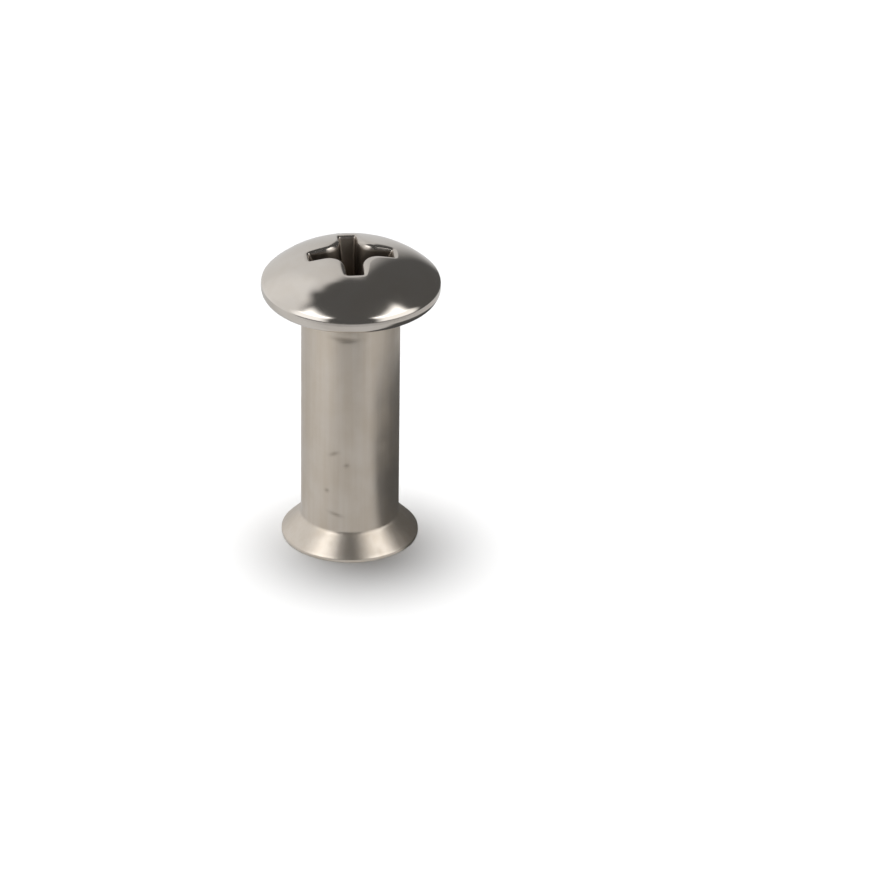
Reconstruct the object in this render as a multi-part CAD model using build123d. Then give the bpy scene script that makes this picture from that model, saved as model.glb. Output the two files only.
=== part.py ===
"""Binding barrel screw: a countersunk barrel nut and the truss-head screw that closes it.

Units are millimetres and degrees. The origin is the centre of the flat head's
face, on which the closed screw stands. +Z runs up the common axis of both pieces.
"""
from build123d import *
from dataclasses import dataclass
import math
import os

# Thread, drawn plain at its major diameter on both pieces
thread_diameter = 4.95
thread_pitch = 0.8
thread_clearance = 0.05

# Barrel nut, outside
barrel_length = 15.7  # flat face to mouth, which is also the closed grip
barrel_wall = 0.375
flat_head_diameter = 8.1
countersink_angle = 90.0
head_land = 0.2
land_round = 0.08
neck_blend = 0.3
mouth_round = 0.14
mouth_chamfer = 0.12

# Barrel nut, inside
drill_point_angle = 118.0
drill_run_out = 1.0  # drilled length past the end of the thread
web_thickness = 0.9  # metal between the drill's point and the recess

# Truss-head screw
truss_head_diameter = 10.5
rim_thickness = 1.0
dome_rise = 2.25
rim_under_round = 0.6
rim_top_round = 0.2
neck_length = 0.5
tip_clearance = 0.4  # shank end to the end of the barrel's thread
tip_chamfer = 0.45

# Cross recesses
wing_width = 1.05
wing_flank_angle = 26.5
wing_draft_angle = 3.0
point_angle = 140.0
edge_round = 0.1


@dataclass
class Recess:
    """Cross recess, measured where its wings reach the head's face."""

    span: float
    depth: float
    corner_radius: float
    corner_taper: float = 0.2  # growth of the corner radius for each millimetre of height


def tangent(angle):
    """Tangent of an angle in degrees."""
    return math.tan(math.radians(angle))


def cone_height(radius, included_angle):
    """Height of a cone with this base radius and included angle."""
    return radius / tangent(included_angle / 2)


truss_recess = Recess(span=5.3, depth=2.5, corner_radius=1.05)
flat_recess = Recess(span=4.5, depth=2.3, corner_radius=0.75)

# Radii and levels that follow from the values above
flat_head_radius = flat_head_diameter / 2
truss_head_radius = truss_head_diameter / 2
thread_radius = thread_diameter / 2
bore_radius = thread_radius + thread_clearance
barrel_radius = bore_radius + barrel_wall
drill_radius = (thread_diameter + thread_clearance - thread_pitch) / 2  # tapping size
neck_radius = thread_radius - 0.325 * thread_pitch  # rolling blank, at the pitch diameter

cone_top = head_land + cone_height(flat_head_radius - barrel_radius, countersink_angle)
drill_tip = flat_recess.depth + cone_height(wing_width / 2, point_angle) + web_thickness
drill_end = drill_tip + cone_height(drill_radius, drill_point_angle)
thread_end = drill_end + drill_run_out
shank_end = thread_end + tip_clearance

rim_top = barrel_length + rim_thickness
head_top = rim_top + dome_rise
dome_radius = (truss_head_radius**2 + dome_rise**2) / (2 * dome_rise)


def dome_level(radius):
    """Height of the dome's surface at a distance from the axis."""
    return head_top - dome_radius + math.sqrt(dome_radius**2 - radius**2)


def corner(profile, radius, level):
    """Corner of a turned profile at a radius and a level."""
    return profile.vertices().sort_by_distance((radius, level))[0]


def distance_from_axis(edge):
    """Distance from Z to the middle of an edge."""
    middle = edge.position_at(0.5)
    return math.hypot(middle.X, middle.Y)


def turned(profile):
    """Solid turned about Z from a profile drawn with the radius as X and the level as Y."""
    return revolve(Plane.XZ * profile, Axis.Z)


def cross_outline(recess, level):
    """Section of a cross recess at a level above the plane where its span is given."""
    reach = recess.span + 2 * level * tangent(wing_flank_angle)
    width = wing_width + 2 * level * tangent(wing_draft_angle)
    outline = Rectangle(reach, width) + Rectangle(width, reach)
    inner_corners = outline.vertices().sort_by_distance((0, 0))[:4]
    return fillet(inner_corners, recess.corner_radius + level * recess.corner_taper)


def cross_cutter(recess, overrun):
    """Tapered cross with a pointed floor, open upwards, with its span at Z=0."""
    mouth = Pos(0, 0, overrun) * cross_outline(recess, overrun)
    floor = Pos(0, 0, -recess.depth) * cross_outline(recess, -recess.depth)
    wings = loft([floor, mouth], ruled=True)
    point_radius = wing_width / 2 - recess.depth * tangent(wing_draft_angle)
    point_tip = -recess.depth - cone_height(point_radius, point_angle)
    point = make_face(Polyline((0, -recess.depth), (point_radius, -recess.depth), (0, point_tip), close=True))
    return wings + turned(point)


def rounded_mouth(face, recess):
    """Round the edges that a recess makes in a head's face, and return the whole head."""
    mouth = [edge for edge in face.edges() if distance_from_axis(edge) < recess.span / 2 + edge_round]
    return fillet(mouth, edge_round)


def barrel_nut():
    """One-piece barrel: countersunk flat head, plain outside, blind threaded hole."""
    profile = make_face(
        Polyline(
            (0, 0),
            (flat_head_radius, 0),
            (flat_head_radius, head_land),
            (barrel_radius, cone_top),
            (barrel_radius, barrel_length),
            (bore_radius, barrel_length),
            (bore_radius, thread_end),
            (drill_radius, thread_end),
            (drill_radius, drill_end),
            (0, drill_tip),
            close=True,
        )
    )
    profile = fillet(corner(profile, flat_head_radius, 0), land_round)
    profile = fillet(corner(profile, flat_head_radius, head_land), land_round)
    profile = fillet(corner(profile, barrel_radius, cone_top), neck_blend)
    profile = fillet(corner(profile, barrel_radius, barrel_length), mouth_round)
    profile = chamfer(corner(profile, bore_radius, barrel_length), mouth_chamfer)
    barrel = turned(profile) - Rot(X=180) * cross_cutter(flat_recess, overrun=1)
    flat_face = barrel.faces().sort_by(Axis.Z)[0]
    return rounded_mouth(flat_face, flat_recess)


def truss_screw():
    """Domed screw: truss head with a rounded rim, short neck, shank at thread diameter."""
    sides = Polyline(
        (0, head_top),
        (0, shank_end),
        (thread_radius, shank_end),
        (thread_radius, barrel_length - neck_length),
        (neck_radius, barrel_length - neck_length),
        (neck_radius, barrel_length),
        (truss_head_radius, barrel_length),
        (truss_head_radius, rim_top),
    )
    dome = RadiusArc((truss_head_radius, rim_top), (0, head_top), -dome_radius)
    profile = make_face(sides.edges() + dome.edges())
    profile = fillet(corner(profile, truss_head_radius, barrel_length), rim_under_round)
    profile = fillet(corner(profile, truss_head_radius, rim_top), rim_top_round)
    profile = chamfer(corner(profile, thread_radius, shank_end), tip_chamfer)
    span_level = dome_level(truss_recess.span / 2)
    screw = turned(profile) - Pos(Z=span_level) * cross_cutter(truss_recess, overrun=head_top - span_level + 1)
    dome = screw.faces().filter_by(GeomType.SPHERE)[0]
    return rounded_mouth(dome, truss_recess)


os.makedirs("parts", exist_ok=True)
for name, solid in {"barrel_nut": barrel_nut(), "truss_screw": truss_screw()}.items():
    export_step(solid, f"parts/{name}.step")
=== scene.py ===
"""Binding barrel screw in worn nickel plate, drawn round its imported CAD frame.

Both pieces are turned and coined blanks, so each is one closed surface made of
rings of points from pole to pole: cross recess, head, and then shank or barrel.
Sizes are in millimetres and degrees unless a name says otherwise; meshes are in metres.
"""

import logging
import math
from dataclasses import dataclass, field
from enum import Enum
from typing import Any

import bpy
import numpy as np
from mathutils import Matrix, Vector


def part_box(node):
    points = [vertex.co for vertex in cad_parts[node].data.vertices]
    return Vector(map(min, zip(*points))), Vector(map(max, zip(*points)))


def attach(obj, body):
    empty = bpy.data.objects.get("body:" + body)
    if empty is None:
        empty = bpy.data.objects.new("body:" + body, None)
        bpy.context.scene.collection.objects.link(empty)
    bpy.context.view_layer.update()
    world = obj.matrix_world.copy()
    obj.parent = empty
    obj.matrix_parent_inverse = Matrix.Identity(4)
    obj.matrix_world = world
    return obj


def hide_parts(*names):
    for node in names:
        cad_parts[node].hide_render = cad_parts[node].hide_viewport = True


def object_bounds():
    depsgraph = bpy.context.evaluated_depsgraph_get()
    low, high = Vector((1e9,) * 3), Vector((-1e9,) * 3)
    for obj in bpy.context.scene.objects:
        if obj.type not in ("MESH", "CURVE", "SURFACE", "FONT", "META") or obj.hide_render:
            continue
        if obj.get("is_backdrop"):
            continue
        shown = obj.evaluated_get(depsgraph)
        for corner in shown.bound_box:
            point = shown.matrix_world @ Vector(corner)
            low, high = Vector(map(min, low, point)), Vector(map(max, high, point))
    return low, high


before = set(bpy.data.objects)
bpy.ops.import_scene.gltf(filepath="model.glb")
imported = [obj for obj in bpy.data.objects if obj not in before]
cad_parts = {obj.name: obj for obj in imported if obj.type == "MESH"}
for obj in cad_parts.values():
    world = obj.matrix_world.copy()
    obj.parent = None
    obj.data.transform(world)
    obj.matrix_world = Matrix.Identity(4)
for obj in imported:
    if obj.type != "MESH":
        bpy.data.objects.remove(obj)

log = logging.getLogger("binding_barrel_screw")

MM = 0.001
COLUMNS = 256
BEARINGS = np.arange(COLUMNS) * (2 * math.pi / COLUMNS)
ROUND = np.stack([np.cos(BEARINGS), np.sin(BEARINGS)], 1)

Ring = np.ndarray
"""Points of one ring, COLUMNS rows of X, Y and Z in millimetres."""
Corner = tuple[float, float]
"""Radius and level of one corner of a turned profile."""


# ---------------------------------------------------------------- shader maths


class Shade:
    """Output socket that takes part in Python expressions, each of which adds its Math node."""

    def __init__(self, tree: "NodeTree", socket: bpy.types.NodeSocket) -> None:
        """Wrap an output socket of a tree."""
        self.tree = tree
        self.socket = socket

    def _math(self, operation: str, left: Any, right: Any) -> "Shade":
        """Join two values with a Math node."""
        return self.tree.node("ShaderNodeMath", {"operation": operation}, {0: left, 1: right})

    def __add__(self, other: Any) -> "Shade":
        """Sum of this value and another."""
        return self._math("ADD", self, other)

    __radd__ = __add__

    def __sub__(self, other: Any) -> "Shade":
        """This value less another."""
        return self._math("SUBTRACT", self, other)

    def __rsub__(self, other: Any) -> "Shade":
        """Another value less this one."""
        return self._math("SUBTRACT", other, self)

    def __mul__(self, other: Any) -> "Shade":
        """Product of this value and another."""
        return self._math("MULTIPLY", self, other)

    __rmul__ = __mul__

    def __truediv__(self, other: Any) -> "Shade":
        """This value divided by another."""
        return self._math("DIVIDE", self, other)

    def step(self, start: float, end: float) -> "Shade":
        """Smooth step from 0 where this value is start to 1 where it is end.

        Args:
            start: Value at which the step begins.
            end: Value at which the step is complete, above or below start.

        Returns:
            The step, clamped between 0 and 1.
        """
        settings = {"interpolation_type": "SMOOTHSTEP"}
        inputs = {"Value": self, "From Min": min(start, end), "From Max": max(start, end)}
        rise = self.tree.node("ShaderNodeMapRange", settings, inputs)
        return rise if start < end else 1 - rise


class NodeTree:
    """Shader tree of one material or world, built node by node."""

    def __init__(self, owner: bpy.types.Material | bpy.types.World) -> None:
        """Empty the owner's tree and take it over."""
        owner.use_nodes = True
        self.nodes = owner.node_tree.nodes
        self.links = owner.node_tree.links
        self.nodes.clear()

    def node(
        self,
        kind: str,
        settings: dict[str, Any] | None = None,
        inputs: dict[int | str, Any] | None = None,
        output: int | str = 0,
    ) -> Shade:
        """Add a node.

        Args:
            kind: Blender's type of the node.
            settings: Properties of the node, set before its sockets.
            inputs: Values or links of its input sockets, by name or number.
            output: Output socket to hand on.

        Returns:
            The chosen output.
        """
        made = self.nodes.new(kind)
        for name, value in (settings or {}).items():
            setattr(made, name, value)
        for name, value in (inputs or {}).items():
            if isinstance(value, Shade):
                self.links.new(value.socket, made.inputs[name])
            else:
                made.inputs[name].default_value = value
        return Shade(self, made.outputs[output] if len(made.outputs) else None)

    def mix(self, mask: Shade, under: Any, over: Any) -> Shade:
        """Colour that goes from one to another with a mask.

        Args:
            mask: 0 for the first colour, 1 for the second.
            under: First colour, four numbers or a link.
            over: Second colour, four numbers or a link.

        Returns:
            The mixed colour.
        """
        return self.node("ShaderNodeMix", {"data_type": "RGBA"}, {0: mask, 6: under, 7: over}, output=2)

    def noise(self, place: Shade, size: float, detail: float, roughness: float) -> Shade:
        """Noise with features of a size.

        Args:
            place: Coordinates in millimetres.
            size: Rough width of its features, in millimetres.
            detail: Octaves of finer noise in it.
            roughness: Strength of each octave beside the one before.

        Returns:
            Value about 0.5, seldom under 0.3 or over 0.7.
        """
        inputs = {"Vector": place, "Scale": 1 / size, "Detail": detail, "Roughness": roughness}
        return self.node("ShaderNodeTexNoise", {}, inputs)

    def stretched(self, place: Shade, x: float, y: float, z: float) -> Shade:
        """Coordinates multiplied along each axis."""
        return self.node("ShaderNodeVectorMath", {"operation": "MULTIPLY"}, {0: place, 1: (x, y, z)})


def colour(red: float, green: float, blue: float, level: float = 1.0) -> tuple[float, float, float, float]:
    """Opaque linear colour at a brightness."""
    return (red * level, green * level, blue * level, 1.0)


# ---------------------------------------------------------------- nickel finishes


@dataclass(frozen=True)
class Mottle:
    """Soft patches made from noise.

    Attributes:
        size: Rough width of the noise's features.
        low: Noise at which a patch begins.
        high: Noise at which it is full.
        detail: Octaves of finer noise.
        roughness: Strength of each octave beside the one before.
        squash: Scale of the noise along the axis, small for long marks.
    """

    size: float
    low: float
    high: float
    detail: float = 2.0
    roughness: float = 0.5
    squash: float = 1.0

    def mask(self, tree: NodeTree, place: Shade) -> Shade:
        """Share of the patches at some coordinates in millimetres, from 0 to 1."""
        squashed = tree.stretched(place, 1, 1, self.squash)
        return tree.noise(squashed, self.size, self.detail, self.roughness).step(self.low, self.high)


PATCHES = Mottle(size=2.6, low=0.36, high=0.66, detail=3, roughness=0.55)
BLOOMS = Mottle(size=0.7, low=0.42, high=0.72)
DRAW_MARKS = Mottle(size=0.35, low=0.35, high=0.65, roughness=0.6, squash=0.04)
WARM_FILM = (0.90, 0.87, 0.82)
"""Share of red, green and blue that the tarnish film lets through."""


@dataclass(frozen=True)
class NickelPlate:
    """Worn nickel plate on one piece.

    Attributes:
        name: Material's name.
        metal: Colour of the clean plate.
        soil_and_shade: Dark colour that the plate takes in recesses, thread roots and dents, partly grime
            and partly painted shade.
        polish: Roughness of the clean plate.
        clouding: How far the roughness wanders between bright and dull patches.
        tarnish: Share of the warm film in the darkest patches.
        draw_marks: Share of the warm film in the fine marks along the axis.
        soil_dulling: Roughness that the full mask of grime and painted shade adds.
    """

    name: str
    metal: tuple[float, float, float]
    soil_and_shade: tuple[float, float, float]
    polish: float
    clouding: float
    tarnish: float
    draw_marks: float
    soil_dulling: float = 0.4

    def material(self) -> bpy.types.Material:
        """Build the material."""
        made = bpy.data.materials.new(self.name)
        tree = NodeTree(made)
        metres = tree.node("ShaderNodeTexCoord", output="Object")
        place = tree.stretched(metres, 1 / MM, 1 / MM, 1 / MM)
        patches, blooms, marks = (mottle.mask(tree, place) for mottle in (PATCHES, BLOOMS, DRAW_MARKS))
        # Mask of grime and painted shade, highest in the recesses, thread roots, hole and dents; it darkens
        # the base colour there
        soil_and_shade_mask = tree.node("ShaderNodeAttribute", {"attribute_name": "soil_and_shade"}, output="Fac")

        film = patches * self.tarnish + marks * self.draw_marks
        filmed = [channel * share for channel, share in zip(self.metal, WARM_FILM)]
        clean = tree.mix(film, colour(*self.metal), colour(*filmed))
        base = tree.mix(soil_and_shade_mask, clean, colour(*self.soil_and_shade))
        cloud = (patches - 0.5) * self.clouding + (blooms - 0.5) * (0.5 * self.clouding)
        rough = self.polish + cloud + soil_and_shade_mask * self.soil_dulling
        inputs = {"Base Color": base, "Metallic": 1.0, "Roughness": rough}
        plate = tree.node("ShaderNodeBsdfPrincipled", {}, inputs)
        tree.node("ShaderNodeOutputMaterial", {}, {"Surface": plate})
        return made


HEAD_PLATE = NickelPlate(
    name="nickel_head",
    metal=(0.70, 0.655, 0.605),
    # Dark brown of grime and painted shade in the recess and along the thread
    soil_and_shade=(0.11, 0.078, 0.05),
    polish=0.11,
    clouding=0.04,
    tarnish=0.35,
    draw_marks=0.0,
)
BARREL_PLATE = NickelPlate(
    name="nickel_barrel",
    metal=(0.66, 0.60, 0.53),
    # Dark brown of grime and painted shade in the recess, the hole and the dents
    soil_and_shade=(0.16, 0.12, 0.085),
    polish=0.36,
    clouding=0.08,
    tarnish=0.5,
    draw_marks=0.35,
)


# ---------------------------------------------------------------- ring meshes


def circle(radius: float | np.ndarray, level: float | np.ndarray) -> Ring:
    """Ring at a radius and a level, either of which may change with the bearing."""
    ring = np.empty((COLUMNS, 3))
    ring[:, :2] = ROUND * np.broadcast_to(radius, COLUMNS)[:, None]
    ring[:, 2] = level
    return ring


def arc(centre: Corner, radius: float, start: float, end: float, rows: int) -> list[Ring]:
    """Rings along an arc of a turned profile.

    Args:
        centre: The arc's centre.
        radius: Radius of the arc.
        start: Angle of its first ring, from 0 straight out to 90 straight up.
        end: Angle of its last ring.
        rows: Number of rings.

    Returns:
        The rings, both ends included.
    """
    angles = np.radians(np.linspace(start, end, rows))
    return [circle(centre[0] + radius * math.cos(a), centre[1] + radius * math.sin(a)) for a in angles]


def straight(start: Corner, end: Corner, rows: int) -> list[Ring]:
    """Rings between two corners of a turned profile, without the corners themselves.

    Args:
        start: First corner.
        end: Last corner.
        rows: Number of rings between them.

    Returns:
        The rings, evenly spaced.
    """
    shares = np.linspace(0, 1, rows + 2)[1:-1]
    return [circle(*(s * (1 - t) + e * t for s, e in zip(start, end))) for t in shares]


def crease(before: Corner, at: Corner, after: Corner, size: float) -> list[Ring]:
    """Rings round a corner of a turned profile that is broken by a hair.

    Args:
        before: Corner before it.
        at: The corner.
        after: Corner after it.
        size: Distance from the corner at which it begins and ends.

    Returns:
        Three rings.
    """
    corner = np.array(at)
    towards = [np.array(p) - corner for p in (before, after)]
    first, last = (corner + t / np.linalg.norm(t) * size for t in towards)
    middle = (first + 2 * corner + last) / 4
    return [circle(*p) for p in (first, middle, last)]


@dataclass
class Blank:
    """Closed surface made of rings, from one pole on the axis to another.

    Attributes:
        first_pole: Level of the pole where the surface begins.
        rings: Rings from the first pole to the last.
        soil_and_shade: Share of grime and painted shade on each ring, one for the whole ring or one for each
            of its points.
    """

    first_pole: float
    rings: list[Ring] = field(default_factory=list)
    soil_and_shade: list[float | np.ndarray] = field(default_factory=list)

    def add(self, rings: list[Ring], soil_and_shade: float | np.ndarray = 0.0) -> None:
        """Carry the surface on through some rings with the same share of grime and painted shade."""
        self.rings.extend(rings)
        self.soil_and_shade.extend([soil_and_shade] * len(rings))

    def mesh(self, name: str, last_pole: float) -> bpy.types.Mesh:
        """Close the surface and turn it into a mesh in metres.

        Args:
            name: Mesh's name.
            last_pole: Level of the pole where the surface ends.

        Returns:
            The mesh, smooth, with its faces outwards and its share of grime and painted shade on each point.
        """
        count = len(self.rings)
        points = np.concatenate([[(0, 0, self.first_pole)], *self.rings, [(0, 0, last_pole)]])
        here = np.arange(COLUMNS)
        along = (here + 1) % COLUMNS
        rows = 1 + COLUMNS * np.arange(count - 1)[:, None]
        above = rows + COLUMNS
        quads = np.stack([rows + here, rows + along, above + along, above + here], 2).reshape(-1, 4)
        last = 1 + COLUMNS * (count - 1)
        fans = [
            np.stack([np.zeros(COLUMNS, int), 1 + along, 1 + here], 1),
            np.stack([np.full(COLUMNS, len(points) - 1), last + here, last + along], 1),
        ]
        first, second, third, fourth = (points[quads[:, n]] for n in range(4))
        volume = (first * (np.cross(second, third) + np.cross(third, fourth))).sum()
        if volume < 0:
            quads, fans = quads[:, ::-1], [f[:, ::-1] for f in fans]
        mesh = bpy.data.meshes.new(name)
        mesh.from_pydata((points * MM).tolist(), [], [*quads.tolist(), *fans[0].tolist(), *fans[1].tolist()])
        mesh.shade_smooth()
        soil_and_shade = [np.broadcast_to(share, COLUMNS) for share in self.soil_and_shade]
        shares = np.concatenate([soil_and_shade[0][:1], *soil_and_shade, soil_and_shade[-1][:1]])
        # Point attribute for grime and painted shade, which darkens the plate's colour
        mesh.attributes.new("soil_and_shade", "FLOAT", "POINT").data.foreach_set("value", shares.astype(np.float32))
        mesh.update()
        return mesh


# ---------------------------------------------------------------- cross recess


@dataclass(frozen=True)
class Face:
    """Surface of a head round its recess: a sphere about a centre on the axis, or flat at level 0.

    Attributes:
        sphere_radius: Radius of the dome, or None on a flat head.
        sphere_centre: Level of the dome's centre.
    """

    sphere_radius: float | None = None
    sphere_centre: float = 0.0

    def level(self, across: np.ndarray) -> np.ndarray:
        """Levels of the surface at points across the axis, two numbers a point."""
        if self.sphere_radius is None:
            return np.zeros(len(across))
        return self.sphere_centre + np.sqrt(self.sphere_radius**2 - (across**2).sum(1))


POINT_RINGS = (0.35, 0.7, 0.95)
"""Rings of the pointed floor, as shares of its radius."""
FLOOR_RINGS = (0.05, 0.4, 0.7, 1.0)
"""Rings of the wings' floor, as shares of the way out to its edge."""
WALL_RINGS = (0.0, 0.2, 0.4, 0.6, 0.8)
"""Rings of the wall, as shares of the way up to its rounded edge."""
EDGE_RINGS = (0.0, 0.2, 0.4, 0.6, 0.8, 1.0)
"""Rings of the rounded edge, as shares of the way over it."""
FACE_RINGS = (0.06, 0.15, 0.28, 0.44, 0.62, 0.8, 1.0)
"""Rings of the face round the recess, as shares of the way out to a circle."""


@dataclass(frozen=True)
class CrossRecess:
    """Coined cross recess with rounded edges, measured where its wings reach the head's face.

    Attributes:
        span: Distance over opposite wings at the face.
        depth: Depth of the wings' floor under the level of the span.
        corner_radius: Radius of the metal between two wings at the face.
        wing_width: Width of a wing at the face.
        flank_angle: Slope of the wings' ends.
        draft_angle: Slope of the wings' sides.
        corner_taper: Growth of the corner radius for each millimetre of height.
        tip_round: Radius inside the wings' ends.
        point_angle: Included angle of the pointed floor.
        edge_round: Rounding of the mouth's edge at the wings' ends.
        corner_edge_round: Rounding of the mouth's edge between two wings.
        edge_blend: Power of the way inwards with which the rounding goes from one to the other.
        floor_inset: Width of the flat strip inside the floor's edge.
        floor_crease: Height of the crisp edge between floor and wall.
        wall_foot: Height at which the wall's even rings begin.
        edge_soil_and_shade: Share of grime and painted shade at the top of the wall.
    """

    span: float
    depth: float
    corner_radius: float
    wing_width: float = 1.05
    flank_angle: float = 26.5
    draft_angle: float = 3.0
    corner_taper: float = 0.2
    tip_round: float = 0.1
    point_angle: float = 140.0
    edge_round: float = 0.12
    corner_edge_round: float = 0.2
    edge_blend: float = 0.6
    floor_inset: float = 0.05
    floor_crease: float = 0.012
    wall_foot: float = 0.06
    edge_soil_and_shade: float = 0.75

    def outline(self, level: float) -> np.ndarray:
        """Section of the recess.

        Args:
            level: Height above the level of the span.

        Returns:
            Two numbers a column, starting at the middle of the wing along +X.
        """
        reach = self.span / 2 + level * math.tan(math.radians(self.flank_angle))
        half = self.wing_width / 2 + level * math.tan(math.radians(self.draft_angle))
        inner = self.corner_radius + level * self.corner_taper
        tip = self.tip_round
        # 5 + 4 + 12 + 12 points, which make a quarter of COLUMNS with their mirror image
        turn = np.linspace(0, math.pi / 2, 5)[1:]
        bend = np.linspace(0, math.pi / 4, 13)[1:]
        end = np.stack([np.full(5, reach), np.linspace(0, half - tip, 5)], 1)
        corner = np.stack([reach - tip + tip * np.cos(turn), half - tip + tip * np.sin(turn)], 1)
        side = np.stack([np.linspace(reach - tip, half + inner, 13)[1:], np.full(12, half)], 1)
        hollow = half + inner * (1 - np.stack([np.sin(bend), np.cos(bend)], 1))
        eighth = np.concatenate([end, corner, side, hollow])
        quarter = np.concatenate([eighth, eighth[-2:0:-1, ::-1]])
        quarter_turn = np.array([[0, 1], [-1, 0]])
        return np.concatenate([quarter, quarter @ quarter_turn, -quarter, quarter @ -quarter_turn])

    def rings(
        self, face: Face, span_level: float, down: int, rim: float
    ) -> tuple[float, list[Ring], list[float]]:
        """Surface of the recess, from its point to a circle on the head round it.

        Args:
            face: Surface of the head.
            span_level: Level of the span.
            down: -1 for a recess in a head that faces down, otherwise 1.
            rim: Radius of the circle.

        Returns:
            Level of the point, the rings, and the share of grime and painted shade on each.
        """
        rings: list[Ring] = []
        soil_and_shade: list[float] = []

        def put(across: np.ndarray, level: np.ndarray | float, soil_and_shade_share: float) -> None:
            """Add a ring from its points across the axis and its height above the level of the span."""
            ring = np.empty((COLUMNS, 3))
            ring[:, :2] = across
            ring[:, 2] = span_level + down * np.broadcast_to(level, COLUMNS)
            rings.append(ring)
            soil_and_shade.append(soil_and_shade_share)

        floor, section = self.outline(-self.depth), self.outline(0)
        slope = (section - floor) / self.depth
        point_radius = self.wing_width / 2 - self.depth * math.tan(math.radians(self.draft_angle))
        point_depth = point_radius / math.tan(math.radians(self.point_angle / 2))
        # Point and floor of the recess fully darkened: grime and painted shade
        for share in POINT_RINGS:
            put(ROUND * (point_radius * share), -self.depth - point_depth * (1 - share), 1.0)
        flat = floor * (1 - self.floor_inset / np.linalg.norm(floor, axis=1))[:, None]
        for share in FLOOR_RINGS:
            put(ROUND * (point_radius * (1 - share)) + flat * share, -self.depth, 1.0)
        put(floor + slope * self.floor_crease, -self.depth + self.floor_crease, 1.0)

        mouth = self._mouth(face, span_level, down, floor, slope)
        reach = np.linalg.norm(section, axis=1)
        inwards = (reach.max() - reach) / (reach.max() - reach.min())
        gain = self.corner_edge_round - self.edge_round
        rounding = self.edge_round + gain * inwards**self.edge_blend
        foot = -self.depth + self.wall_foot
        # Wall darkened less and less towards the mouth: grime and painted shade
        for share in WALL_RINGS:
            level = foot + (mouth - rounding - foot) * share
            put(floor + slope * (level + self.depth)[:, None], level, 1.0 - (1.0 - self.edge_soil_and_shade) * share)

        wall_level = mouth - rounding
        wall = floor + slope * (wall_level + self.depth)[:, None]
        edge = floor + slope * (mouth + self.depth)[:, None]
        ahead, behind = np.roll(edge, -1, 0), np.roll(edge, 1, 0)
        away = np.stack([(ahead - behind)[:, 1], -(ahead - behind)[:, 0]], 1)
        outside = edge + away * (rounding / np.linalg.norm(away, axis=1))[:, None]
        outside_level = (face.level(outside) - span_level) * down
        for share in EDGE_RINGS:
            near, mid, far = (1 - share) ** 2, 2 * share * (1 - share), share**2
            level = wall_level * near + mouth * mid + outside_level * far
            put(wall * near + edge * mid + outside * far, level, self.edge_soil_and_shade * near)

        for share in FACE_RINGS:
            across = outside * (1 - share) + ROUND * (rim * share)
            put(across, (face.level(across) - span_level) * down, 0.0)
        return span_level - down * (self.depth + point_depth), rings, soil_and_shade

    def _mouth(
        self, face: Face, span_level: float, down: int, floor: np.ndarray, slope: np.ndarray
    ) -> np.ndarray:
        """Height above the level of the span at which each column of the wall meets the head's face."""
        if face.sphere_radius is None:
            return np.zeros(COLUMNS)
        start = floor + slope * self.depth
        rise = (span_level - face.sphere_centre) * down
        a = (slope**2).sum(1) + 1
        b = (start * slope).sum(1) + rise
        c = (start**2).sum(1) + rise**2 - face.sphere_radius**2
        return (-b + np.sqrt(b**2 - a * c)) / a


# ---------------------------------------------------------------- thread


class Side(Enum):
    """The two sides of a thread."""

    MALE = "male"
    FEMALE = "female"


@dataclass(frozen=True)
class Thread:
    """Right-hand thread, whose crests on the screw lie in the grooves of the barrel.

    Attributes:
        major_radius: Radius over the male crests.
        pitch: Distance between turns.
        height: Height of the male crests over their roots.
        clearance: Gap between a male crest and the female groove.
        female_height: Height of the female ridges.
        crest: Half the width of a male crest, in turns.
        flank: Width of a male flank, in turns.
        groove: Half the width of a female groove's floor, in turns.
        groove_flank: Width of a female flank, in turns.
        rows_a_turn: Rings for each turn.
    """

    major_radius: float = 2.475
    pitch: float = 0.8
    height: float = 0.49
    clearance: float = 0.05
    female_height: float = 0.40
    crest: float = 0.0625
    flank: float = 0.3125
    groove: float = 0.09
    groove_flank: float = 0.285
    rows_a_turn: int = 16

    def radius(self, level: float, side: Side) -> np.ndarray:
        """Radius of one side of the thread at a level, a number for each column."""
        turn = (level / self.pitch - BEARINGS / (2 * math.pi)) % 1
        away = np.minimum(turn, 1 - turn)
        if side is Side.MALE:
            return self.major_radius - self.height * np.clip((away - self.crest) / self.flank, 0, 1)
        rise = np.clip((away - self.groove) / self.groove_flank, 0, 1)
        return self.major_radius + self.clearance - self.female_height * rise


# ---------------------------------------------------------------- pieces


def box_mm(node: str) -> tuple[Vector, Vector]:
    """Lowest and highest corner of a CAD node, in millimetres."""
    low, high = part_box(node)
    return low / MM, high / MM


def piece(mesh: bpy.types.Mesh, node: str, body: str, finish: NickelPlate) -> bpy.types.Object:
    """Stand a mesh in for its CAD node, on the node's body and in the node's finish.

    Args:
        mesh: Mesh in metres, where the CAD node is.
        node: CAD node that it replaces.
        body: CAD body that it rides on.
        finish: Plate on it.

    Returns:
        The new object.
    """
    made = bpy.data.objects.new(mesh.name, mesh)
    bpy.context.scene.collection.objects.link(made)
    mesh.materials.append(finish.material())
    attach(made, body)
    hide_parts(node)
    log.info("%s: %d faces, in place of %s on body %s", made.name, len(mesh.polygons), node, body)
    return made


TRUSS_RECESS = CrossRecess(
    span=5.05,
    depth=2.5,
    corner_radius=1.05,
    wing_width=0.98,
    edge_round=0.2,
    corner_edge_round=0.46,
)
FLAT_RECESS = CrossRecess(span=4.5, depth=2.3, corner_radius=0.75)


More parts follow.
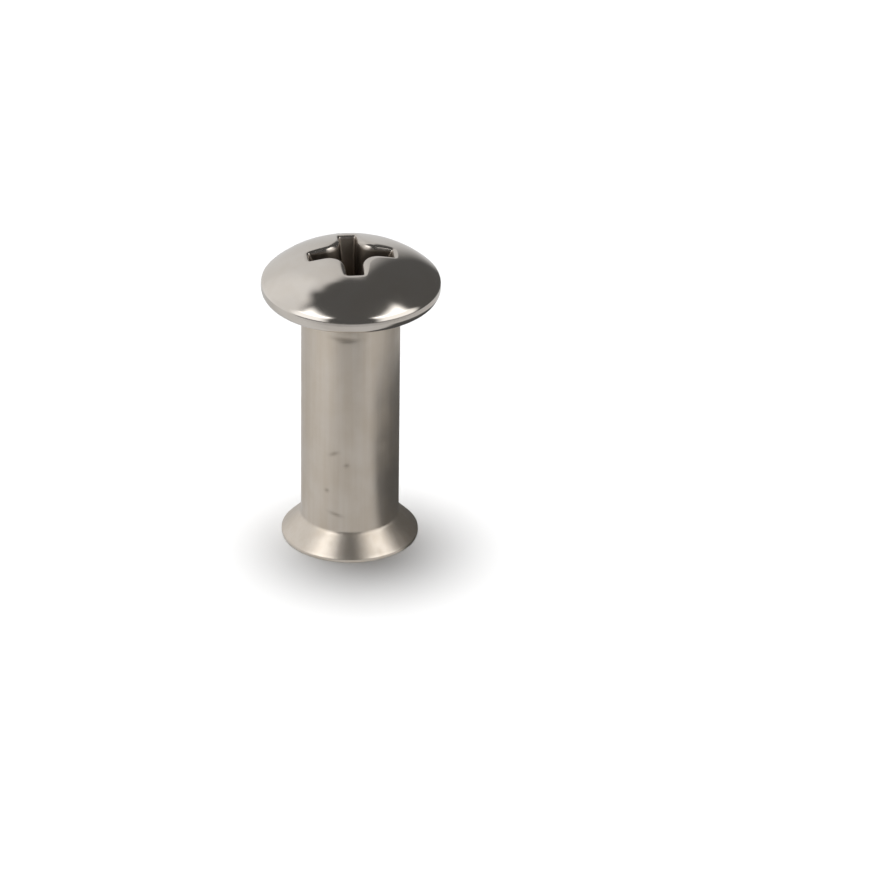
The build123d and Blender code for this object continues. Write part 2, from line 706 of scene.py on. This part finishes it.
@dataclass(frozen=True)
class TrussScrew:
    """Domed screw: truss head with a rounded rim and a cross recess, neck and threaded shank.

    Attributes:
        head_radius: Radius of the head.
        seat_level: Level of the head's flat underside.
        tip_level: Level of the shank's end.
        rim_thickness: Height of the rim under the dome.
        crown_radius: Radius of the dome's crown.
        crown_angle: Slope at which the crown passes into the shoulder.
        shoulder_radius: Radius of the dome's shoulder, in section.
        rim_under_round: Rounding of the rim below.
        rim_top_round: Rounding of the rim above.
        neck_radius: Radius of the plain neck.
        neck_length: Length of the plain neck.
        tip_chamfer: Chamfer of the shank's end.
        thread_start: Length over which the thread rises from the neck, in turns.
        recess: Cross recess.
        thread: Thread of the shank.
    """

    head_radius: float
    seat_level: float
    tip_level: float
    rim_thickness: float = 1.0
    crown_radius: float = 8.4
    crown_angle: float = 22.0
    shoulder_radius: float = 6.0
    rim_under_round: float = 0.6
    rim_top_round: float = 0.42
    neck_radius: float = 2.215
    neck_length: float = 0.5
    tip_chamfer: float = 0.45
    thread_start: float = 0.6
    recess: CrossRecess = TRUSS_RECESS
    thread: Thread = Thread(rows_a_turn=20)

    def build(self) -> bpy.types.Object:
        """Build the screw and dress it."""
        lean = math.radians(self.crown_angle)
        shoulder_centre = (self.crown_radius - self.shoulder_radius) * math.sin(lean)
        rise = math.sqrt(self.shoulder_radius**2 - (self.head_radius - shoulder_centre) ** 2)
        shoulder_level = self.seat_level + self.rim_thickness - rise
        centre = shoulder_level - (self.crown_radius - self.shoulder_radius) * math.cos(lean)
        face = Face(self.crown_radius, centre)
        span_level = centre + math.sqrt(self.crown_radius**2 - (self.recess.span / 2) ** 2)
        inner = self.crown_radius * math.sin(lean)
        point, rings, soil_and_shade = self.recess.rings(face, span_level, 1, inner)
        blank = Blank(point, rings, soil_and_shade)

        top_radius = self.head_radius - self.rim_top_round
        reach = self.shoulder_radius - self.rim_top_round
        slope = math.degrees(math.acos((top_radius - shoulder_centre) / reach))
        top_level = shoulder_level + math.sqrt(reach**2 - (top_radius - shoulder_centre) ** 2)
        bend = (shoulder_centre, shoulder_level)
        blank.add(arc(bend, self.shoulder_radius, 90 - self.crown_angle, slope, rows=24)[1:])
        blank.add(arc((top_radius, top_level), self.rim_top_round, slope, 0, rows=12)[1:])
        under_radius = self.head_radius - self.rim_under_round
        under_level = self.seat_level + self.rim_under_round
        blank.add(straight((self.head_radius, top_level), (self.head_radius, under_level), rows=3))
        blank.add(arc((under_radius, under_level), self.rim_under_round, 0, -90, rows=14))
        seat, neck = (under_radius, self.seat_level), (self.neck_radius, self.seat_level)
        fade = (self.neck_radius, self.seat_level - self.neck_length)
        blank.add(straight(seat, neck, rows=6))
        # Grime and painted shade in the crease under the head, on the neck and along the thread
        blank.add(crease(seat, neck, fade, size=0.08), soil_and_shade=0.5)
        blank.add(straight(neck, fade, rows=3), soil_and_shade=0.25)
        self._shank(blank, fade[1])
        tip_radius = self.thread.major_radius - self.tip_chamfer
        blank.add(straight((tip_radius, self.tip_level), (0, self.tip_level), rows=5), soil_and_shade=0.2)
        mesh = blank.mesh("truss_screw_plated", self.tip_level)
        return piece(mesh, "truss_screw", "screw", HEAD_PLATE)

    def _shank(self, blank: Blank, top: float) -> None:
        """Carry the blank on down the thread, which runs in from the neck and out on the tip's chamfer.

        Args:
            blank: Surface so far, down to the neck's end.
            top: Level at which the thread begins.
        """
        thread = self.thread
        rows = round((top - self.tip_level) / thread.pitch * thread.rows_a_turn)
        for level in np.linspace(top, self.tip_level, rows + 1):
            run_in = min(1.0, (top - level) / (self.thread_start * thread.pitch))
            radius = self.neck_radius + (thread.radius(level, Side.MALE) - self.neck_radius) * run_in
            radius = np.minimum(radius, thread.major_radius - self.tip_chamfer + (level - self.tip_level))
            blank.add([circle(radius, level)], soil_and_shade=0.3)


@dataclass(frozen=True)
class Dent:
    """Shallow knock on the barrel's outside.

    Attributes:
        bearing: Angle round the axis from +X.
        level: Height of its middle.
        width: Size round the barrel.
        height: Size along the barrel.
        depth: Depth in the middle.
        lean: Slant of its long side.
    """

    bearing: float
    level: float
    width: float
    height: float
    depth: float
    lean: float = 0.0


DENT_STEEPNESS = 1.6
"""How fast a dent fades from its middle."""
DENT_SOIL_AND_SHADE = 0.45
# Share of grime and painted shade in a dent's middle.
"""Share of soil in a dent's middle."""
KNOCKS = (
    Dent(bearing=-103, level=14.25, width=1.7, height=0.35, depth=0.03),
    Dent(bearing=-115, level=6.6, width=0.8, height=0.3, depth=0.022, lean=25),
    Dent(bearing=-100, level=5.9, width=0.35, height=0.3, depth=0.018),
    Dent(bearing=-124, level=4.05, width=0.35, height=0.3, depth=0.02),
    Dent(bearing=-113, level=2.55, width=1.0, height=0.28, depth=0.022, lean=-15),
    Dent(bearing=40, level=9.8, width=0.7, height=0.3, depth=0.02, lean=30),
    Dent(bearing=75, level=4.6, width=0.4, height=0.5, depth=0.02, lean=-20),
    Dent(bearing=150, level=12.1, width=0.9, height=0.25, depth=0.02, lean=10),
    Dent(bearing=115, level=7.4, width=0.5, height=0.4, depth=0.018, lean=-35),
)


@dataclass(frozen=True)
class BarrelNut:
    """Barrel nut: countersunk flat head with a cross recess, plain outside, blind threaded hole.

    Attributes:
        head_radius: Radius of the flat head.
        mouth_level: Level of the barrel's mouth.
        barrel_radius: Radius of the plain outside.
        head_land: Height of the head's upright edge.
        land_round: Rounding of that edge, below and above.
        neck_blend: Hollow rounding between the head's cone and the barrel.
        mouth_round: Rounding of the mouth outside.
        mouth_chamfer: Chamfer of the mouth inside.
        thread_start: Length over which the thread rises from the mouth, in turns.
        thread_end: Level at which the thread ends.
        drill_radius: Radius of the drilled hole under the thread.
        drill_tip: Level of the drilled hole's point.
        drill_point_angle: Included angle of that point.
        face_start: Radius on the flat face up to which the rings take the recess's shape.
        outside_rows: Rings along the plain outside, with both ends.
        recess: Cross recess.
        thread: Thread of the hole.
        knocks: Dents on the outside.
    """

    head_radius: float
    mouth_level: float
    barrel_radius: float = 2.9
    head_land: float = 0.2
    land_round: float = 0.08
    neck_blend: float = 0.3
    mouth_round: float = 0.14
    mouth_chamfer: float = 0.12
    thread_start: float = 0.3
    thread_end: float = 5.65
    drill_radius: float = 2.1
    drill_tip: float = 3.391
    drill_point_angle: float = 118.0
    face_start: float = 2.8
    outside_rows: int = 132
    recess: CrossRecess = FLAT_RECESS
    thread: Thread = Thread(rows_a_turn=10)
    knocks: tuple[Dent, ...] = KNOCKS

    def build(self) -> bpy.types.Object:
        """Build the barrel and dress it."""
        point, rings, soil_and_shade = self.recess.rings(Face(), 0.0, -1, self.face_start)
        blank = Blank(point, rings, soil_and_shade)
        land, edge = self.land_round, self.head_radius
        blank.add(straight((self.face_start, 0), (edge - land, 0), rows=5))
        blank.add(arc((edge - land, land), land, -90, 0, rows=7))
        turn = math.tan(math.radians(45 / 2))
        blank.add(arc((edge - land, self.head_land - land * turn), land, 0, 45, rows=5))
        corner_level = self.head_land + edge - self.barrel_radius
        blend = self.neck_blend
        half = math.sqrt(0.5)
        cone_start = (edge - land * (1 - half), self.head_land + land * (half - turn))
        cone_end = (self.barrel_radius + blend * (1 - half), corner_level + blend * (turn - half))
        blank.add(straight(cone_start, cone_end, rows=9))
        blend_end = corner_level + blend * turn
        blank.add(arc((self.barrel_radius + blend, blend_end), blend, 225, 180, rows=8))
        self._outside(blank, blend_end, self.mouth_level - self.mouth_round)
        self._hole(blank)
        mesh = blank.mesh("barrel_nut_plated", self.drill_tip)
        return piece(mesh, "barrel_nut", "barrel", BARREL_PLATE)

    def _outside(self, blank: Blank, start: float, end: float) -> None:
        """Carry the blank on up the plain outside, with its knocks."""
        for level in np.linspace(start, end, self.outside_rows)[1:]:
            radius = np.full(COLUMNS, self.barrel_radius)
            soil_and_shade = np.zeros(COLUMNS)
            for knock in self.knocks:
                round_off = (BEARINGS - math.radians(knock.bearing) + math.pi) % (2 * math.pi) - math.pi
                across, along = round_off * self.barrel_radius, level - knock.level
                lean = math.radians(knock.lean)
                u = (across * math.cos(lean) + along * math.sin(lean)) / (knock.width / 2)
                v = (along * math.cos(lean) - across * math.sin(lean)) / (knock.height / 2)
                share = np.exp(-DENT_STEEPNESS * (u**2 + v**2))
                radius -= knock.depth * share
                # Dents darkened in the middle: grime and painted shade
                soil_and_shade += DENT_SOIL_AND_SHADE * share
            blank.add([circle(radius, level)], soil_and_shade)

    def _hole(self, blank: Blank) -> None:
        """Carry the blank on over the mouth and down the threaded hole."""
        thread, mouth = self.thread, self.mouth_level
        groove = thread.major_radius + thread.clearance
        shoulder = self.barrel_radius - self.mouth_round
        blank.add(arc((shoulder, mouth - self.mouth_round), self.mouth_round, 0, 90, rows=8)[1:])
        lip, chamfered = (groove + self.mouth_chamfer, mouth), (groove, mouth - self.mouth_chamfer)
        blank.add(crease((shoulder, mouth), lip, chamfered, size=0.02))
        # Grime and painted shade along the thread, darker towards the bottom of the hole
        for level in np.arange(chamfered[1], self.thread_end, -thread.pitch / thread.rows_a_turn):
            run_in = min(1.0, (chamfered[1] - level) / (self.thread_start * thread.pitch))
            radius = groove + (thread.radius(level, Side.FEMALE) - groove) * run_in
            blank.add([circle(radius, level)], soil_and_shade=0.5)
        drill = self.drill_radius
        drill_end = self.drill_tip + drill / math.tan(math.radians(self.drill_point_angle / 2))
        ledge, bottom, tip = (drill, self.thread_end), (drill, drill_end), (0, self.drill_tip)
        blank.add(crease((groove, self.thread_end), ledge, bottom, size=0.02), soil_and_shade=0.7)
        blank.add(straight(ledge, bottom, rows=3), soil_and_shade=0.8)
        blank.add(crease(ledge, bottom, tip, size=0.02), soil_and_shade=0.9)
        blank.add(straight(bottom, tip, rows=4), soil_and_shade=0.9)


# ---------------------------------------------------------------- studio


@dataclass(frozen=True)
class Panel:
    """Light or dark patch that the plate reflects: a range of bearings, and of heights or distances.

    Attributes:
        bearing: Middle of it, clockwise from straight behind the screw.
        half_width: Half its width.
        low: Elevation of its lower edge, or distance of its near edge from the axis.
        high: Elevation of its upper edge, or distance of its far edge.
        glow: Brightness.
        side_edge: Softness of its sides.
        low_edge: Softness of its lower or near edge.
        high_edge: Softness of its upper or far edge.
    """

    bearing: float
    half_width: float
    low: float
    high: float
    glow: float
    side_edge: float = 8.0
    low_edge: float = 5.0
    high_edge: float = 5.0


SHELL_PANELS = (
    Panel(bearing=-14, half_width=28, low=-30, high=66, glow=0.66, side_edge=9, high_edge=4),
    Panel(bearing=-40, half_width=22, low=-30, high=67, glow=0.76, side_edge=14, high_edge=4),
    Panel(bearing=-66, half_width=24, low=-30, high=59, glow=0.90, side_edge=12, high_edge=5),
    Panel(bearing=-88, half_width=15, low=-30, high=50, glow=0.84, side_edge=10, high_edge=8),
    Panel(bearing=-126, half_width=21, low=-20, high=56, glow=1.35, side_edge=9, high_edge=6),
    Panel(bearing=-126, half_width=19, low=36, high=55, glow=2.7, side_edge=9, low_edge=8, high_edge=6),
    Panel(bearing=119, half_width=25, low=-20, high=55, glow=1.4, side_edge=8, high_edge=5),
    Panel(bearing=119, half_width=23, low=36, high=54, glow=2.7, side_edge=8, low_edge=8, high_edge=5),
)
FLOOR_LIGHT_AND_SHADOW = (
    # Painted light: brighter floor to the left. Painted shadow: the dark patch to the right, of a
    # neighbouring screw that is not in the scene
    Panel(bearing=-62, half_width=32, low=-2, high=80, glow=0.60, side_edge=10),
    Panel(bearing=-106, half_width=28, low=-2, high=80, glow=0.70, side_edge=16),
    Panel(bearing=68, half_width=58, low=-2, high=25, glow=0.09, side_edge=8, low_edge=1, high_edge=2.5),
)


@dataclass(frozen=True)
class Studio:
    """Pale sweep, the soft light over it, and the surroundings that the plate reflects.

    Attributes:
        pivot_level: Level of the point on the axis that the camera's place is measured from.
        bearing: Turn of the camera round the screw, from straight in front.
        elevation: Height of the camera over the floor.
        distance: Distance from the camera to the pivot.
        aim_right: How far right of the pivot the camera looks.
        aim_down: How far below it.
        roll: Turn of the camera about its own line of sight.
        lens: Focal length on the default sensor.
        surround: Brightness of the studio between its panels.
        floor_glow: Brightness of the floor in the plate, between its patches.
        floor_reach: Distance from the axis to which that floor goes.
        paper: Whiteness of the paper that the screw stands on.
        paper_drop: How far the paper lies under the screw.
        glow_drop: How far the glowing floor lies under it.
        sky: Brightness of the even light on the floor.
        lamp: Brightness of the soft lamp overhead.
        lamp_lean: How far the lamp stands off to the back and to the left.
        lamp_size: Angle from the lamp's middle to about the middle of its soft edge.
        lamp_edge: Where that edge begins and ends, as shares of the angle.
        shell_panels: Panels on the shell round the screw.
        floor_light_and_shadow: Painted pools of light and a painted shadow on the glowing floor, which the
            plate reflects.
    """

    pivot_level: float = 8.08
    bearing: float = -6.0
    elevation: float = 28.5
    distance: float = 395.0
    aim_right: float = 5.29
    aim_down: float = 1.765
    roll: float = 0.7
    lens: float = 274.4
    surround: float = 0.10
    floor_glow: float = 0.61
    floor_reach: float = 37.5
    paper: float = 0.86
    paper_drop: float = 0.02
    glow_drop: float = 0.03
    sky: float = 0.15
    lamp: float = 17.5
    lamp_lean: tuple[float, float] = (8.5, 3.0)
    lamp_size: float = 15.0
    lamp_edge: tuple[float, float] = (0.5, 1.3)
    shell_panels: tuple[Panel, ...] = SHELL_PANELS
    floor_light_and_shadow: tuple[Panel, ...] = FLOOR_LIGHT_AND_SHADOW

    def build(self, low: Vector, high: Vector) -> None:
        """Set up the camera, the floor and the light round the object.

        Args:
            low: Lowest corner of the object, in metres.
            high: Highest corner of the object, in metres.
        """
        self._camera(Vector((0, 0, self.pivot_level * MM)))
        self._sky()
        self._floor()
        self._floor_in_plate()
        self._surround((low + high) / 2)

    def _camera(self, pivot: Vector) -> None:
        """Place the camera so that the screw stands where it should in the frame."""
        turn, lift = math.radians(self.bearing), math.radians(self.elevation)
        back = Vector((math.sin(turn) * math.cos(lift), -math.cos(turn) * math.cos(lift), math.sin(lift)))
        right = Vector((math.cos(turn), math.sin(turn), 0))
        up = back.cross(right)
        place = pivot + back * (self.distance * MM)
        aim = pivot + (right * self.aim_right - up * self.aim_down) * MM
        data = bpy.data.cameras.new("camera")
        data.lens = self.lens
        data.clip_start, data.clip_end = 0.01, 5.0
        camera = bpy.data.objects.new("camera", data)
        bpy.context.scene.collection.objects.link(camera)
        look = (aim - place).to_track_quat("-Z", "Y").to_matrix().to_4x4()
        roll = Matrix.Rotation(math.radians(self.roll), 4, "Z")
        camera.matrix_world = Matrix.Translation(place) @ look @ roll
        bpy.context.scene.camera = camera
        bpy.context.scene.view_settings.view_transform = "Standard"

    def _sky(self) -> None:
        """Even pale light, which lights the floor and is seen behind it."""
        world = bpy.data.worlds.new("pale_light")
        bpy.context.scene.world = world
        tree = NodeTree(world)
        towards = tree.node("ShaderNodeTexCoord", output="Generated")
        back, left = (math.radians(lean) for lean in self.lamp_lean)
        turn = Matrix.Rotation(math.radians(self.bearing), 3, "Z")
        lamp = (turn @ Vector((-math.sin(left), math.sin(back), 1))).normalized()
        inputs = {0: towards, 1: tuple(lamp)}
        near = tree.node("ShaderNodeVectorMath", {"operation": "DOT_PRODUCT"}, inputs, output=1)
        tight, wide = (math.cos(math.radians(self.lamp_size * share)) for share in self.lamp_edge)
        strength = self.sky + near.step(wide, tight) * self.lamp
        glow = tree.node("ShaderNodeBackground", {}, {"Color": colour(1, 1, 1), "Strength": strength})
        tree.node("ShaderNodeOutputWorld", {}, {"Surface": glow})
        world.cycles_visibility.glossy = False

    def _floor(self) -> None:
        """Lay the white paper that the screw stands on."""
        half = 0.7
        rim = [(-half, -half, 0), (half, -half, 0), (half, half, 0), (-half, half, 0)]
        mesh = bpy.data.meshes.new("floor")
        mesh.from_pydata(rim, [], [(0, 1, 2, 3)])
        material = bpy.data.materials.new("floor")
        tree = NodeTree(material)
        paper = tree.node("ShaderNodeBsdfDiffuse", {}, {"Color": colour(1, 1, 1, self.paper)})
        tree.node("ShaderNodeOutputMaterial", {}, {"Surface": paper})
        mesh.materials.append(material)
        sheet = self._stand(mesh, Vector((0, 0, -self.paper_drop * MM)))
        sheet.visible_glossy = False
        sheet.visible_shadow = False

    def _floor_in_plate(self) -> None:
        """Lay the glowing round of floor that shows in the plate only."""
        mesh = bpy.data.meshes.new("floor_in_plate")
        rim = [(self.floor_reach * MM * x, self.floor_reach * MM * y, 0) for x, y in ROUND]
        mesh.from_pydata(rim, [], [tuple(range(COLUMNS))])
        self._paint(mesh, self.floor_glow, self.floor_light_and_shadow, flat=True)
        self._hide(self._stand(mesh, Vector((0, 0, -self.glow_drop * MM))))

    def _surround(self, middle: Vector) -> None:
        """Hang a large shell round the screw, which shows in the plate only."""
        rows, columns, radius = 24, 48, 0.6
        mesh = bpy.data.meshes.new("surround")
        points = []
        faces = []
        for lift in np.linspace(-math.pi / 2, math.pi / 2, rows + 1):
            for turn in np.arange(columns) * (2 * math.pi / columns):
                out = radius * math.cos(lift)
                points.append((out * math.sin(turn), out * math.cos(turn), radius * math.sin(lift)))
        for row in range(rows):
            for column in range(columns):
                here, beside = row * columns + column, row * columns + (column + 1) % columns
                faces.append((here, beside, beside + columns, here + columns))
        mesh.from_pydata(points, [], faces)
        self._paint(mesh, self.surround, self.shell_panels, flat=False)
        self._hide(self._stand(mesh, middle))

    def _stand(self, mesh: bpy.types.Mesh, place: Vector) -> bpy.types.Object:
        """Put a mesh on the stage, turned to face the camera."""
        made = bpy.data.objects.new(mesh.name, mesh)
        made.location = place
        made.rotation_euler.z = math.radians(self.bearing)
        bpy.context.scene.collection.objects.link(made)
        made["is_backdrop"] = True
        return made

    def _hide(self, thing: bpy.types.Object) -> None:
        """Leave a thing in reflections only."""
        thing.visible_camera = False
        thing.visible_diffuse = False
        thing.visible_shadow = False

    def _paint(self, mesh: bpy.types.Mesh, ground: float, panels: tuple[Panel, ...], flat: bool) -> None:
        """Give a mesh a glow with panels on it.

        Args:
            mesh: Mesh to paint, which is round the screw.
            ground: Brightness between the panels.
            panels: Panels, each over the ones before.
            flat: True where the panels' heights are distances from the axis, otherwise elevations.
        """
        material = bpy.data.materials.new(mesh.name)
        tree = NodeTree(material)
        place = tree.node("ShaderNodeTexCoord", output="Object")
        apart = tree.node("ShaderNodeSeparateXYZ", {}, {0: place})
        x, y, z = (Shade(tree, apart.socket.node.outputs[n]) for n in range(3))
        hair = 1e-12  # keeps the divisions sound on the axis
        away = tree.node("ShaderNodeMath", {"operation": "SQRT"}, {0: x * x + y * y + hair})
        lift = tree.node("ShaderNodeMath", {"operation": "ARCTANGENT"}, {0: z / away}) * math.degrees(1)
        height = away / MM if flat else lift
        glow: Any = colour(1, 1, 1, ground)
        for panel in panels:
            turn = math.radians(panel.bearing)
            near = (x * math.sin(turn) + y * math.cos(turn)) / away
            wide = math.cos(math.radians(min(180, panel.half_width + panel.side_edge)))
            tight = math.cos(math.radians(max(0, panel.half_width - panel.side_edge)))
            rise = height.step(panel.low - panel.low_edge, panel.low + panel.low_edge)
            fall = height.step(panel.high + panel.high_edge, panel.high - panel.high_edge)
            glow = tree.mix(near.step(wide, tight) * rise * fall, glow, colour(1, 1, 1, panel.glow))
        shine = tree.node("ShaderNodeEmission", {}, {"Color": glow})
        tree.node("ShaderNodeOutputMaterial", {}, {"Surface": shine})
        material.cycles.emission_sampling = "NONE"
        mesh.materials.append(material)


def main() -> None:
    """Build the object and its studio."""
    logging.basicConfig(level=logging.INFO, format="%(name)s: %(message)s")
    cad_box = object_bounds()
    _, barrel_high = box_mm("barrel_nut")
    screw_low, screw_high = box_mm("truss_screw")
    BarrelNut(head_radius=barrel_high.x, mouth_level=barrel_high.z).build()
    TrussScrew(head_radius=screw_high.x, seat_level=barrel_high.z, tip_level=screw_low.z).build()
    Studio().build(*cad_box)


if __name__ == "__main__":
    main()
